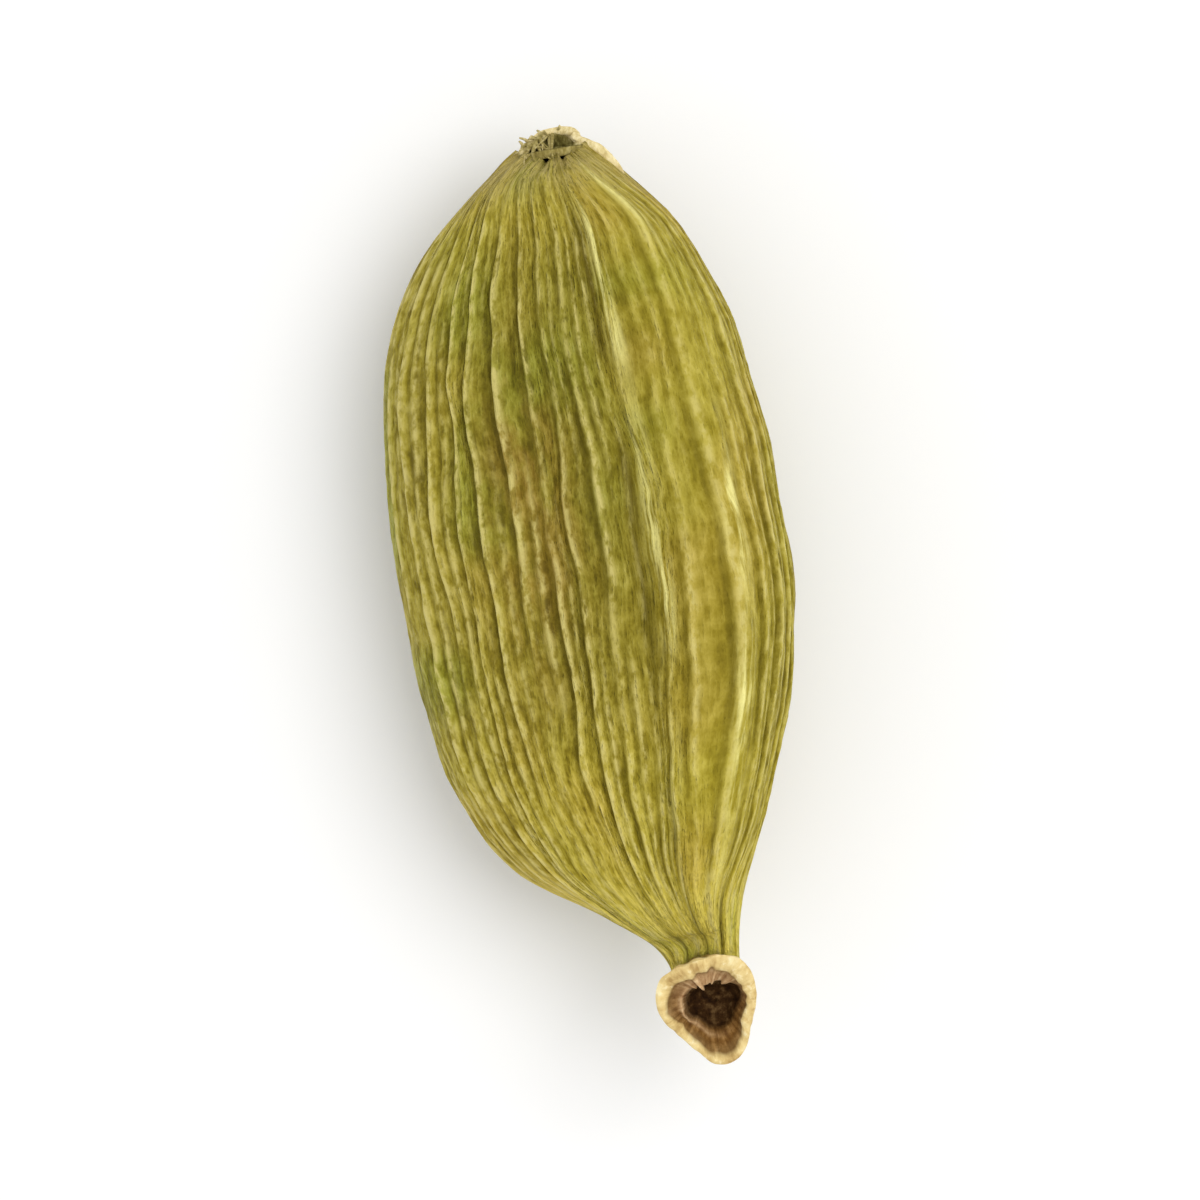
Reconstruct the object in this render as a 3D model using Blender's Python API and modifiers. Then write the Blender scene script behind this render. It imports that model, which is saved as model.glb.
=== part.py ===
"""Green cardamom pod lying on its side: a ribbed three-sided husk with its flower collar and stalk stub.

The pod's length runs along X, with the stalk end at -X and the collar at +X, and it rests on a
small flat spot at Z = 0. Lengths are in millimetres until a vertex is placed.
"""
import math

import bpy
import numpy as np

MM = 0.001

# Outline seen from above: distance from the stalk tip, reach to +Y and reach to -Y
OUTLINE = (
    (0.40, 0.50, 0.84),
    (1.00, 1.02, 1.74),
    (2.00, 1.78, 2.76),
    (3.50, 2.36, 3.58),
    (5.50, 2.71, 3.95),
    (7.50, 2.80, 4.07),
    (9.50, 2.66, 4.01),
    (11.50, 2.06, 3.64),
    (13.00, 1.40, 2.78),
    (14.00, 0.92, 1.50),
    (14.80, 0.70, 0.62),
    (15.76, 0.62, 0.52),
)
HUSK_START = OUTLINE[0][0]
HUSK_END = OUTLINE[-1][0]
THICKNESS_RATIO = 0.88
AXIS_RISE = 0.25

# Rounded triangle of the section: the way each of the three faces looks, in degrees from +Y to +Z
FACE_ANGLES = (119.0, -1.0, -94.0)
KEEL_ANGLES = (59.0, -47.5, -167.5)
FACE_SHARPNESS = 4.0
ROUND_LIMIT = 1.30
ROUND_BELOW_RADIUS = 0.6
THREE_SIDED_ABOVE_RADIUS = 2.4

# Neck that turns the collar upwards
BEND_START = 14.50
BEND_RADIUS = 1.03
BEND_ANGLE = math.radians(70.0)

# Ribs along the husk
RIB_COUNT = 36
STEPS_PER_RIB = 4
RIB_HEIGHT = 0.062
NECK_RIB_HEIGHT = 0.030
RING_COUNT = 34
KEEL_HEIGHT = 0.10
KEEL_WIDTH = 0.08
SEED_BULGE = 0.030
SEED_SPACING = 2.3

# Smoother strips of the husk: direction round the axis, spread in radians and share of rib lost
CALM_STRIPS = ((70.0, 0.22, 0.50), (5.0, 0.75, 0.45))

# Flat spot under the belly
REST_DEPTH = 0.18
REST_SMOOTHING = 0.6

# Dry rim left by the flower
COLLAR_LENGTH = 0.80
COLLAR_BASE_RADIUS = 0.60
COLLAR_RIM_RADIUS = 0.86
COLLAR_WALL = 0.26
COLLAR_FLOOR = 0.24
COLLAR_SIDES = 36
MOUTH_SHIFT = 0.09
MOUTH_SHIFT_TURN = -0.45
LIP_REACH = 0.20
TRIANGLE_SHARE = 0.09
RIM_LENGTHEN = 0.05

# Torn end of the stalk
STUB_LENGTH = 0.37
STUB_RADIUS = 0.58
STUB_SIDES = 28
STUB_TEETH = 7
STUB_SLANT = 0.34

BUTT_GAP = 0.03
MERGE_DISTANCE = 0.000001

HUSK_GREEN = (0.329, 0.270, 0.050)
COLLAR_TAN = (0.520, 0.350, 0.170)
STUB_CREAM = (0.560, 0.500, 0.300)


def material(name, colour, roughness):
    """Principled material of one plant tissue."""
    made = bpy.data.materials.new(name)
    made.use_nodes = True
    shader = made.node_tree.nodes["Principled BSDF"]
    shader.inputs["Base Color"].default_value = (*colour, 1.0)
    shader.inputs["Roughness"].default_value = roughness
    shader.inputs["Metallic"].default_value = 0.0
    return made


def ramp(value, low, high):
    """0 below low, 1 above high, and a soft step between."""
    t = np.clip((value - low) / (high - low), 0.0, 1.0)
    return t * t * (3.0 - 2.0 * t)


def curve_through(places, values, at):
    """Smooth curve through the outline's points, level where it turns."""
    slope = np.diff(values) / np.diff(places)
    tangent = np.concatenate(([slope[0]], (slope[1:] + slope[:-1]) / 2.0, [slope[-1]]))
    turning = np.concatenate(([False], slope[1:] * slope[:-1] <= 0.0, [False]))
    tangent[turning] = 0.0
    i = np.clip(np.searchsorted(places, at) - 1, 0, len(places) - 2)
    width = places[i + 1] - places[i]
    u = np.clip((at - places[i]) / width, 0.0, 1.0)
    rise = (1 + 2 * u) * (1 - u) ** 2 * values[i] + u * u * (3 - 2 * u) * values[i + 1]
    lean = u * (1 - u) ** 2 * tangent[i] + u * u * (u - 1) * tangent[i + 1]
    return rise + lean * width


def husk_widths(along):
    """Half the width, and the sideways place of the middle, at distances along the pod."""
    places, right, left = np.array(OUTLINE).T
    to_right = curve_through(places, right, along)
    to_left = curve_through(places, left, along)
    return (to_right + to_left) / 2.0, (to_right - to_left) / 2.0


def section_radius(angle):
    """Distance from the axis to the side of the rounded triangle."""
    total = np.full_like(angle, ROUND_LIMIT ** -FACE_SHARPNESS)
    for face in FACE_ANGLES:
        total += np.maximum(0.0, np.cos(angle - math.radians(face))) ** FACE_SHARPNESS
    return total ** (-1.0 / FACE_SHARPNESS)


def three_sided(angle):
    """Point of the section at each angle, scaled to reach from -1 to 1 both ways."""
    around = np.linspace(-math.pi, math.pi, 721)
    reach = section_radius(around)
    across, up = reach * np.cos(around), reach * np.sin(around)
    radius = section_radius(angle)
    middle = ((across.max() + across.min()) / 2.0, (up.max() + up.min()) / 2.0)
    half = ((across.max() - across.min()) / 2.0, (up.max() - up.min()) / 2.0)
    return (radius * np.cos(angle) - middle[0]) / half[0], (radius * np.sin(angle) - middle[1]) / half[1]


def rib_angle(turn, along):
    """Where a rib really runs: unevenly spaced, and wavering a little along the pod."""
    uneven = 0.05 * np.sin(2 * turn + 0.6) + 0.035 * np.sin(5 * turn + 2.0) + 0.02 * np.sin(11 * turn)
    waver = 0.009 * np.sin(0.9 * along + 3 * turn) + 0.005 * np.sin(2.1 * along + 7 * turn)
    return turn + uneven + waver


def near(angle, degrees, spread):
    """1 at a direction round the axis, falling to 0 past the spread in radians."""
    away = np.angle(np.exp(1j * (angle - math.radians(degrees))))
    return np.exp(-(away / spread) ** 2)


def relief(turn, angle, along, radius):
    """Height of ribs, keels and seed bulges over the plain section."""
    strength = 0.78 + 0.22 * np.sin(10 * turn + 0.35 * along) * np.sin(4 * turn + 1.0)
    for strip, spread, lost in CALM_STRIPS:
        strength *= 1.0 - lost * near(angle, strip, spread)
    ribbed = ramp(radius, 0.6, 2.2)
    height = RIB_HEIGHT * strength * ribbed * np.cos(RIB_COUNT * turn)
    height += NECK_RIB_HEIGHT * (1.0 - ribbed) * np.cos(RIB_COUNT / 2 * turn)
    for keel in KEEL_ANGLES:
        height += KEEL_HEIGHT * ribbed * near(angle, keel, KEEL_WIDTH)
    full = ramp(radius, 1.8, 3.2)
    for row, face in enumerate(FACE_ANGLES):
        bumps = np.cos(2 * math.pi * (along / SEED_SPACING + row / 3))
        height += SEED_BULGE * full * bumps * near(angle, face, 0.5)
    return height * (1.0 - REST_SMOOTHING * full * near(angle, -90.0, 0.45))


def bent_axis(along):
    """Place and lean of the pod's axis in the XZ plane, straight and then turning up at the neck."""
    lean = np.clip((along - BEND_START) / BEND_RADIUS, 0.0, BEND_ANGLE)
    past = np.maximum(0.0, along - BEND_START - BEND_RADIUS * BEND_ANGLE)
    x = np.minimum(along, BEND_START) + BEND_RADIUS * np.sin(lean) + past * np.cos(lean)
    z = BEND_RADIUS * (1.0 - np.cos(lean)) + past * np.sin(lean)
    return x, z + AXIS_RISE * (along / HUSK_END) ** 2, lean


def husk_points(turn, along, share):
    """Points of the husk's surface; share is 1 on the skin and 0 on the axis."""
    radius, sideways = husk_widths(along)
    angle = rib_angle(turn, along)
    across, up = three_sided(angle)
    three = ramp(radius, ROUND_BELOW_RADIUS, THREE_SIDED_ABOVE_RADIUS)
    across = three * across + (1.0 - three) * np.cos(angle)
    up = three * up + (1.0 - three) * np.sin(angle)
    thick = 1.0 - (1.0 - THICKNESS_RATIO) * three
    raised = relief(turn, angle, along, radius)
    y = sideways + share * (across * radius + raised * np.cos(angle))
    out = share * (up * radius * thick + raised * np.sin(angle))
    x, z, lean = bent_axis(along)
    return x - out * np.sin(lean), y, z + out * np.cos(lean)


def turned(name, profile, sides):
    """Mesh of a profile turned about Z; the profile's points are (radius, height), outer side downwards."""
    mesh = bpy.data.meshes.new(name + "_profile")
    edges = [(i, i + 1) for i in range(len(profile) - 1)]
    mesh.from_pydata([(r * MM, 0.0, h * MM) for r, h in profile], edges, [])
    made = bpy.data.objects.new(name, mesh)
    bpy.context.scene.collection.objects.link(made)
    screw = made.modifiers.new("turn", "SCREW")
    screw.axis = "Z"
    screw.angle = 2 * math.pi
    screw.steps = sides
    screw.render_steps = sides
    screw.use_merge_vertices = True
    screw.merge_threshold = MERGE_DISTANCE
    depsgraph = bpy.context.evaluated_depsgraph_get()
    result = bpy.data.meshes.new_from_object(made.evaluated_get(depsgraph))
    result.name = name
    bpy.data.objects.remove(made)
    bpy.data.meshes.remove(mesh)
    return result


def vertex_array(mesh):
    """All the mesh's vertices, in millimetres."""
    flat = np.empty(len(mesh.vertices) * 3, dtype=np.float32)
    mesh.vertices.foreach_get("co", flat)
    return flat.reshape(-1, 3).astype(float) / MM


def place_vertices(mesh, points):
    """Moves the mesh's vertices to points in millimetres."""
    mesh.vertices.foreach_set("co", (points * MM).astype(np.float32).ravel())
    mesh.update()


def finished(mesh, collection, paint, parent):
    """Object of a shaped mesh, smooth, painted and hung on the pod's frame."""
    mesh.materials.clear()
    mesh.materials.append(paint)
    mesh.shade_smooth()
    mesh.set_sharp_from_angle(angle=math.radians(50.0))
    made = bpy.data.objects.new(mesh.name, mesh)
    made.parent = parent
    collection.objects.link(made)
    return made


def husk_mesh():
    """Capsule wall: a turned spindle shaped into the ribbed, three-sided pod with its neck."""
    spread = (1.0 - np.cos(np.linspace(0.0, math.pi, RING_COUNT))) / 2.0
    even = np.linspace(0.0, 1.0, RING_COUNT)
    stations = HUSK_START + (HUSK_END - HUSK_START) * (0.6 * spread + 0.4 * even)
    radius = husk_widths(stations)[0]
    profile = [(0.0, HUSK_END)] + list(zip(radius[::-1], stations[::-1])) + [(0.0, HUSK_START)]
    mesh = turned("husk", profile, RIB_COUNT * STEPS_PER_RIB)
    points = vertex_array(mesh)
    turn = np.arctan2(points[:, 1], points[:, 0])
    share = np.minimum(1.0, np.hypot(points[:, 0], points[:, 1]) / husk_widths(points[:, 2])[0])
    x, y, z = husk_points(turn, points[:, 2], np.round(share))
    rest = z.min() + REST_DEPTH
    place_vertices(mesh, np.column_stack((x, y, np.maximum(z, rest))))
    return mesh, rest


def collar_mesh():
    """Withered flower tube: a small three-sided cup, its rim thicker at the neck and drawn out to a lip."""
    rim = COLLAR_RIM_RADIUS
    inner = rim - COLLAR_WALL
    base = COLLAR_BASE_RADIUS
    top = COLLAR_LENGTH
    profile = [
        (0.0, COLLAR_FLOOR),
        (inner * 0.55, COLLAR_FLOOR),
        (inner * 0.82, COLLAR_FLOOR + 0.12),
        (inner * 0.94, top * 0.72),
        (inner, top - 0.06),
        (inner + COLLAR_WALL * 0.3, top),
        (rim - COLLAR_WALL * 0.3, top),
        (rim, top - 0.07),
        (rim * 0.93, top * 0.68),
        (base * 1.08, top * 0.30),
        (base, 0.0),
        (0.0, 0.0),
    ]
    mesh = turned("flower_collar", profile, COLLAR_SIDES)
    points = vertex_array(mesh)
    hollow = (np.hypot(points[:, 0], points[:, 1]) < inner * 1.01) & (points[:, 2] > COLLAR_FLOOR * 0.99)
    shift = MOUTH_SHIFT * hollow * ramp(points[:, 2], COLLAR_FLOOR, COLLAR_LENGTH * 0.8)
    turn = np.arctan2(points[:, 1], points[:, 0])
    rise = points[:, 2] / COLLAR_LENGTH
    lip = np.exp(-((turn - 0.15) / 0.55) ** 2)
    stretch = 1.0 + rise * (TRIANGLE_SHARE * np.cos(3 * turn - 0.4) + LIP_REACH * lip)
    frill = 1.0 + rise ** 2 * (0.06 * np.cos(5 * turn + 1.0) + 0.05 * lip)
    points[:, 0] += shift * math.cos(MOUTH_SHIFT_TURN)
    points[:, 1] += shift * math.sin(MOUTH_SHIFT_TURN)
    longer = stretch * (1.0 + RIM_LENGTHEN * rise)
    place_vertices(mesh, points * np.column_stack((longer, stretch, frill)))
    return mesh


def stub_mesh():
    """Torn stalk: a short crown of fibre ends round a small pit, lower at its upper side."""
    wall = STUB_RADIUS
    top = STUB_LENGTH
    profile = [
        (0.0, top * 0.30),
        (wall * 0.45, top * 0.30),
        (wall * 0.62, top * 0.95),
        (wall * 0.80, top),
        (wall * 0.96, top * 0.62),
        (wall, 0.0),
        (0.0, 0.0),
    ]
    mesh = turned("stalk_stub", profile, STUB_SIDES)
    points = vertex_array(mesh)
    turn = np.arctan2(points[:, 1], points[:, 0])
    rise = points[:, 2] / STUB_LENGTH
    teeth = 0.80 + 0.20 * np.cos(STUB_TEETH * turn) * np.cos(2 * turn + 0.7)
    squash = 1.0 - 0.12 * rise * np.cos(2 * turn)
    slant = 1.0 - STUB_SLANT * (1.0 + np.cos(turn))
    place_vertices(mesh, points * np.column_stack((squash, squash, slant * (1.0 + (teeth - 1.0) * rise))))
    return mesh


def centre_over_origin(frame, pieces, rest):
    """Slides the pod's frame so that its box is centred over the origin and its flat spot is at Z = 0."""
    bpy.context.view_layer.update()
    corners = np.array([piece.matrix_world @ v.co for piece in pieces for v in piece.data.vertices])
    low, high = corners.min(axis=0), corners.max(axis=0)
    frame.location = (-(low[0] + high[0]) / 2.0, -(low[1] + high[1]) / 2.0, -rest * MM)


def build_pod():
    """All three pieces of the pod, in their own collection."""
    for existing in list(bpy.data.objects):
        bpy.data.objects.remove(existing)
    collection = bpy.data.collections.new("green_cardamom_pod")
    bpy.context.scene.collection.children.link(collection)
    frame = bpy.data.objects.new("pod_frame", None)
    collection.objects.link(frame)

    shape, rest = husk_mesh()
    husk = finished(shape, collection, material("husk_green", HUSK_GREEN, 0.72), frame)

    end = np.array([HUSK_END + BUTT_GAP])
    x, z, lean = (float(v[0]) for v in bent_axis(end))
    collar = finished(collar_mesh(), collection, material("collar_tan", COLLAR_TAN, 0.80), frame)
    collar.location = (x * MM, float(husk_widths(end)[1][0]) * MM, z * MM)
    collar.rotation_euler = (0.0, math.pi / 2 - lean, 0.0)

    stub = finished(stub_mesh(), collection, material("stub_cream", STUB_CREAM, 0.90), frame)
    start = np.array([HUSK_START])
    stub.location = ((HUSK_START - BUTT_GAP) * MM, float(husk_widths(start)[1][0]) * MM,
                     float(bent_axis(start)[1][0]) * MM)
    stub.rotation_euler = (0.0, -math.pi / 2, 0.0)

    centre_over_origin(frame, (husk, collar, stub), rest)


build_pod()
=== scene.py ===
"""Looks of a green cardamom pod: a finely ribbed husk, its withered flower collar and its torn stalk end.

Shapes are worked out in millimetres in the pod's own frame, with X running from the tip of the stalk
stub to the lip of the collar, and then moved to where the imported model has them. Directions round the
pod are in degrees from +Y towards +Z, and their spreads in radians.
"""

import math

import bpy
import numpy as np
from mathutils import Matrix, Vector


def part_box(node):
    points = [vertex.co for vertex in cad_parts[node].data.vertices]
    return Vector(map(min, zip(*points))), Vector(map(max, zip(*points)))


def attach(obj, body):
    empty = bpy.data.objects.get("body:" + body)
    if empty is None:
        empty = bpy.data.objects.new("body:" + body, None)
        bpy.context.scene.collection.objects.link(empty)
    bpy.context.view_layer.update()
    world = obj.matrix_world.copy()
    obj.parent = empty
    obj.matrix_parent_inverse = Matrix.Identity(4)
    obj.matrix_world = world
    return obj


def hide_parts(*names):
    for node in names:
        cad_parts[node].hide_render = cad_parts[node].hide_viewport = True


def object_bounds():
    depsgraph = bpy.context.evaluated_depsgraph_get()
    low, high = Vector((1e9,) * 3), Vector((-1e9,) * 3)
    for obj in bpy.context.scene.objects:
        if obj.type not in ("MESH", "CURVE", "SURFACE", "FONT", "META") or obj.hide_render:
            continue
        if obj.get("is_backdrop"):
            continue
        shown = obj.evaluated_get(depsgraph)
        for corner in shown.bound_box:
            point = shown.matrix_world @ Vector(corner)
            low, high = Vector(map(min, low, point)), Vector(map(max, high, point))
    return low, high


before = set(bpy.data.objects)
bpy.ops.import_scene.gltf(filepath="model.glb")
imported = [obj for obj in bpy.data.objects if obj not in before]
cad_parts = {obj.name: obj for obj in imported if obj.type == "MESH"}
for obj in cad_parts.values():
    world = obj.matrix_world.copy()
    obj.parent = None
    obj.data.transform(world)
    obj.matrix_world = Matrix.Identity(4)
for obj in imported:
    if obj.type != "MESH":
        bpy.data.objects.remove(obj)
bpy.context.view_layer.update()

MM = 0.001
FULL_TURN = 2 * math.pi

# Form of the husk, as the solid has it
OUTLINE = (
    (0.40, 0.50, 0.84),
    (1.00, 1.02, 1.74),
    (2.00, 1.78, 2.76),
    (3.50, 2.36, 3.58),
    (5.50, 2.71, 3.95),
    (7.50, 2.80, 4.07),
    (9.50, 2.66, 4.01),
    (11.50, 2.06, 3.64),
    (13.00, 1.40, 2.78),
    (14.00, 0.92, 1.50),
    (14.80, 0.70, 0.62),
    (15.76, 0.62, 0.52),
)
HUSK_START = OUTLINE[0][0]
HUSK_END = OUTLINE[-1][0]
HUSK_LENGTH = HUSK_END - HUSK_START
THICKNESS_RATIO = 0.88
AXIS_RISE = 0.25
FACE_ANGLES = (119.0, -1.0, -94.0)
KEEL_ANGLES = (59.0, -47.5, -167.5)
FACE_SHARPNESS = 4.0
ROUND_LIMIT = 1.30
ROUND_BELOW_RADIUS = 0.6
THREE_SIDED_ABOVE_RADIUS = 2.4
BEND_START = 14.50
BEND_RADIUS = 1.03
BEND_ANGLE = math.radians(70.0)
RIB_COUNT = 36
RIB_HEIGHT = 0.062
NECK_RIB_HEIGHT = 0.030
RIBBED_RADII = (0.6, 2.2)
KEEL_HEIGHT = 0.10
KEEL_WIDTH = 0.08
SEED_BULGE = 0.030
SEED_SPACING = 2.3
CALM_STRIPS = ((70.0, 0.22, 0.50), (5.0, 0.75, 0.45))
REST_SMOOTHING = 0.6

# Fine grid of the husk: columns across one rib, in shares of its pitch from the crest, and rings along it
COLUMNS = (-0.50, -0.40, -0.30, -0.21, -0.13, -0.07, -0.02, 0.03, 0.08, 0.13, 0.18, 0.25, 0.33, 0.42)
RINGS = 178
RING_CROWDING = 0.45

# Fine relief of the husk
STRIA_HEIGHT = 0.009
NECK_STRIA_HEIGHT = 0.006
CRINKLE_HEIGHT = 0.007
DENT_DEPTH = 0.022
SECOND_CREST_HEIGHT = 0.040
SECOND_GROOVE_DEPTH = 0.035
NECK_FOLDS = 11
NECK_FOLD_HEIGHT = 0.022

# Stretches along the pod, from where something starts to where it is full
RIB_FADE = (0.3, 2.4)
SHOULDER = (0.8, 3.0)
SECOND_RIDGE_START = (1.0, 2.0)
SECOND_RIDGE_END = (8.5, 11.0)
TOWARDS_NECK = (8.0, 12.0)
BELT_END = (8.5, 12.0)
NECK = (12.0, 14.0)
NECK_SMOOTH = (12.0, 14.2)

# Lines of each rib: place from its crest, in shares of the pitch, and spread; the crest lines are painted
# highlights and the groove lines painted shade
GROOVE_PLACE = 0.20
CREST_HIGHLIGHT_LINE = (-0.04, 0.09)
GROOVE_SHADE_LINE = (GROOVE_PLACE - 0.02, 0.10)
BETWEEN_BAND = (0.57, 0.20)
BETWEEN_CREST_HIGHLIGHT_LINE = (0.50, 0.07)
BETWEEN_GROOVE_SHADE_LINE = (0.66, 0.08)

# Weaker ribs between the others, and the waver of every crest
BETWEEN_SHIFT = 0.46
BETWEEN_RIB_SHARE = 0.75
CREST_WANDER = 0.022

# Strips along the husk: direction and spread
# Pale ridge along the keel, carrying a painted highlight
PALE_RIDGE_HIGHLIGHT = (KEEL_ANGLES[0], 0.040)
SECOND_CREST = (80.2, 0.036)
SECOND_GROOVE = (85.4, 0.045)
BOLD_RIBS = (148.0, 0.55)
DARK_BELT = (108.0, 0.50)
# Upper side facing the lamp, lightened as painted light
LIT_SIDE_BELT = (46.0, 0.50)
SMOOTH_BELT = (66.0, 0.36)
BROWN_PATCH = (124.0, 0.42)
BROWN_PATCH_MIDDLE = 6.6
BROWN_PATCH_REACH = 3.0

# Husk's edge at the stalk end: rounded, torn, drawn back at the top and sunk into a funnel
EDGE_ROUNDING = 0.06
EDGE_ROUNDING_REACH = 0.10
EDGE_TEAR = 0.09
EDGE_FINE_TEAR = 0.04
EDGE_TEAR_REACH = 0.24
MOUTH_SIDE = (90.0, 1.0)
MOUTH_DRAWN_BACK = 0.15
MOUTH_REACH = 0.40
MOUTH_DEPTH = 0.34

# Radius of the cylinder that the husk's textures are laid on
TEXTURE_RADIUS = 3.3

# Form of the collar, as the solid has it
COLLAR_LENGTH = 0.80
COLLAR_BASE_RADIUS = 0.60
COLLAR_RIM_RADIUS = 0.86
COLLAR_FLOOR = 0.24
LIP_REACH = 0.20
TRIANGLE_SHARE = 0.09
RIM_LENGTHEN = 0.05
BUTT_GAP = 0.03

# Fine collar: width of the cream rim, and reach of the dark pit as a share of the rim, from the lip on
COLLAR_STEPS = 200
COLLAR_RIBS = 15
RIM_WIDTHS = (0.15, 0.17, 0.19, 0.27, 0.26, 0.26, 0.17, 0.15)
PIT_REACH = (0.50, 0.64, 0.74, 0.33, 0.25, 0.31, 0.46, 0.58)
PIT_CENTRE = (0.185, 0.14)
TUCK_IN = 0.05

# Sides of the collar with teeth and with a ledge inside: direction from the lip and spread
NECK_SIDE = (178.0, 1.05)
LEDGE_SIDE = (-70.0, 0.95)

# Form of the stub, as the solid has it
STUB_LENGTH = 0.37
STUB_RADIUS = 0.58
STUB_TEETH = 7
STUB_BASE = HUSK_START - BUTT_GAP

# Fine stub, torn lower at its upper side, with its rolled strip and its loose fibres
STUB_STEPS = 140
STUB_TUCK_IN = 0.16
TORN_SLANT = 0.74
TORN_BELOW_RIM = 0.76
STRIP_RIM_RADIUS = 0.47
STRIP_RINGS = 60
ROOT_LIFT = -0.04
FIBRE_COUNT = 64
BRIDGE_COUNT = 14
FIBRE_SEED = 83

# Rolled strip round the stub's rim: direction from the top, height over the rim and radius
STRIP_ON_RIM = (
    (228, -0.04, 0.020),
    (208, -0.01, 0.050),
    (188, 0.00, 0.070),
    (168, 0.00, 0.085),
    (148, 0.00, 0.095),
    (128, 0.01, 0.095),
    (108, 0.01, 0.088),
    (90, 0.00, 0.082),
)
# The same strip on the husk's shoulder: distance along, direction, height over the skin and radius
STRIP_ON_SKIN = (
    (0.50, 17.0, 0.03, 0.085),
    (0.63, 15.0, 0.05, 0.088),
    (0.77, 14.0, 0.05, 0.080),
    (0.92, 13.0, 0.03, 0.060),
    (1.06, 13.0, -0.01, 0.015),
)

# Where the photograph's camera stands: straight above, with the collar down and a little to the right
COLLAR_DIRECTION = 80.36
FRAME_HEIGHT = 21.0
CAMERA_LENS = 400.0
SENSOR = 36.0
CLIP_SHARES = (0.05, 50)

# Table top and lights, in metres and watts
TABLE_SIZE = 1.2
WORLD_STRENGTH = 0.92
LAMP_SIZE = 0.18
LAMP_POWER = 0.26
LAMP_PLACE = (-0.03, 0.10, 0.24)


def srgb(red, green, blue):
    """Linear colour of a display colour given in steps of 255."""
    out = []
    for part in (red, green, blue):
        c = part / 255.0
        out.append(c / 12.92 if c <= 0.04045 else ((c + 0.055) / 1.055) ** 2.4)
    return (*out, 1.0)


def ramp(value, low, high):
    """0 below low, 1 above high, and a soft step between."""
    t = np.clip((value - low) / (high - low), 0.0, 1.0)
    return t * t * (3.0 - 2.0 * t)


def bell(away, spread):
    """1 where away is nothing, falling to 0 past the spread on both sides."""
    return np.exp(-(away / spread) ** 2)


def near(angle, degrees, spread):
    """1 at a direction round the axis, falling to 0 past the spread in radians."""
    return bell(np.angle(np.exp(1j * (angle - math.radians(degrees)))), spread)


def noise(round_way, long_way, cells_round, cells_long, seed):
    """Smooth noise from -1 to 1 that closes on itself; both places run from 0 to 1."""
    lattice = np.random.default_rng(seed).uniform(-1.0, 1.0, (cells_round, cells_long + 2))
    x = (round_way % 1.0) * cells_round
    y = np.clip(long_way, 0.0, 1.0) * cells_long
    i = np.floor(x).astype(int)
    j = np.floor(y).astype(int)
    fx, fy = x - i, y - j
    fx, fy = fx * fx * (3 - 2 * fx), fy * fy * (3 - 2 * fy)
    i, i_next = i % cells_round, (i + 1) % cells_round
    near_row = lattice[i, j] * (1 - fx) + lattice[i_next, j] * fx
    far_row = lattice[i, j + 1] * (1 - fx) + lattice[i_next, j + 1] * fx
    return near_row * (1 - fy) + far_row * fy


def curve_through(places, values, at):
    """Smooth curve through the outline's points, level where it turns."""
    slope = np.diff(values) / np.diff(places)
    tangent = np.concatenate(([slope[0]], (slope[1:] + slope[:-1]) / 2.0, [slope[-1]]))
    turning = np.concatenate(([False], slope[1:] * slope[:-1] <= 0.0, [False]))
    tangent[turning] = 0.0
    i = np.clip(np.searchsorted(places, at) - 1, 0, len(places) - 2)
    width = places[i + 1] - places[i]
    u = np.clip((at - places[i]) / width, 0.0, 1.0)
    rise = (1 + 2 * u) * (1 - u) ** 2 * values[i] + u * u * (3 - 2 * u) * values[i + 1]
    lean = u * (1 - u) ** 2 * tangent[i] + u * u * (u - 1) * tangent[i + 1]
    return rise + lean * width


def husk_widths(along):
    """Half the width, and the sideways place of the middle, at distances along the pod."""
    places, right, left = np.array(OUTLINE).T
    to_right = curve_through(places, right, along)
    to_left = curve_through(places, left, along)
    return (to_right + to_left) / 2.0, (to_right - to_left) / 2.0


def section_radius(angle):
    """Distance from the axis to the side of the rounded triangle."""
    total = np.full_like(angle, ROUND_LIMIT ** -FACE_SHARPNESS)
    for face in FACE_ANGLES:
        total += np.maximum(0.0, np.cos(angle - math.radians(face))) ** FACE_SHARPNESS
    return total ** (-1.0 / FACE_SHARPNESS)


def three_sided(angle):
    """Point of the section at each angle, scaled to reach from -1 to 1 both ways."""
    around = np.linspace(-math.pi, math.pi, 721)
    reach = section_radius(around)
    across, up = reach * np.cos(around), reach * np.sin(around)
    radius = section_radius(angle)
    middle = ((across.max() + across.min()) / 2.0, (up.max() + up.min()) / 2.0)
    half = ((across.max() - across.min()) / 2.0, (up.max() - up.min()) / 2.0)
    return (radius * np.cos(angle) - middle[0]) / half[0], (radius * np.sin(angle) - middle[1]) / half[1]


def rib_angle(turn, along):
    """Where a rib really runs: unevenly spaced, and wavering a little along the pod."""
    uneven = 0.05 * np.sin(2 * turn + 0.6) + 0.035 * np.sin(5 * turn + 2.0) + 0.02 * np.sin(11 * turn)
    waver = 0.009 * np.sin(0.9 * along + 3 * turn) + 0.005 * np.sin(2.1 * along + 7 * turn)
    return turn + uneven + waver


def calmed(angle):
    """Share of their strength that the ribs keep in the smoother strips of the husk."""
    kept = np.ones_like(angle)
    for strip, spread, lost in CALM_STRIPS:
        kept *= 1.0 - lost * near(angle, strip, spread)
    return kept


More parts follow.
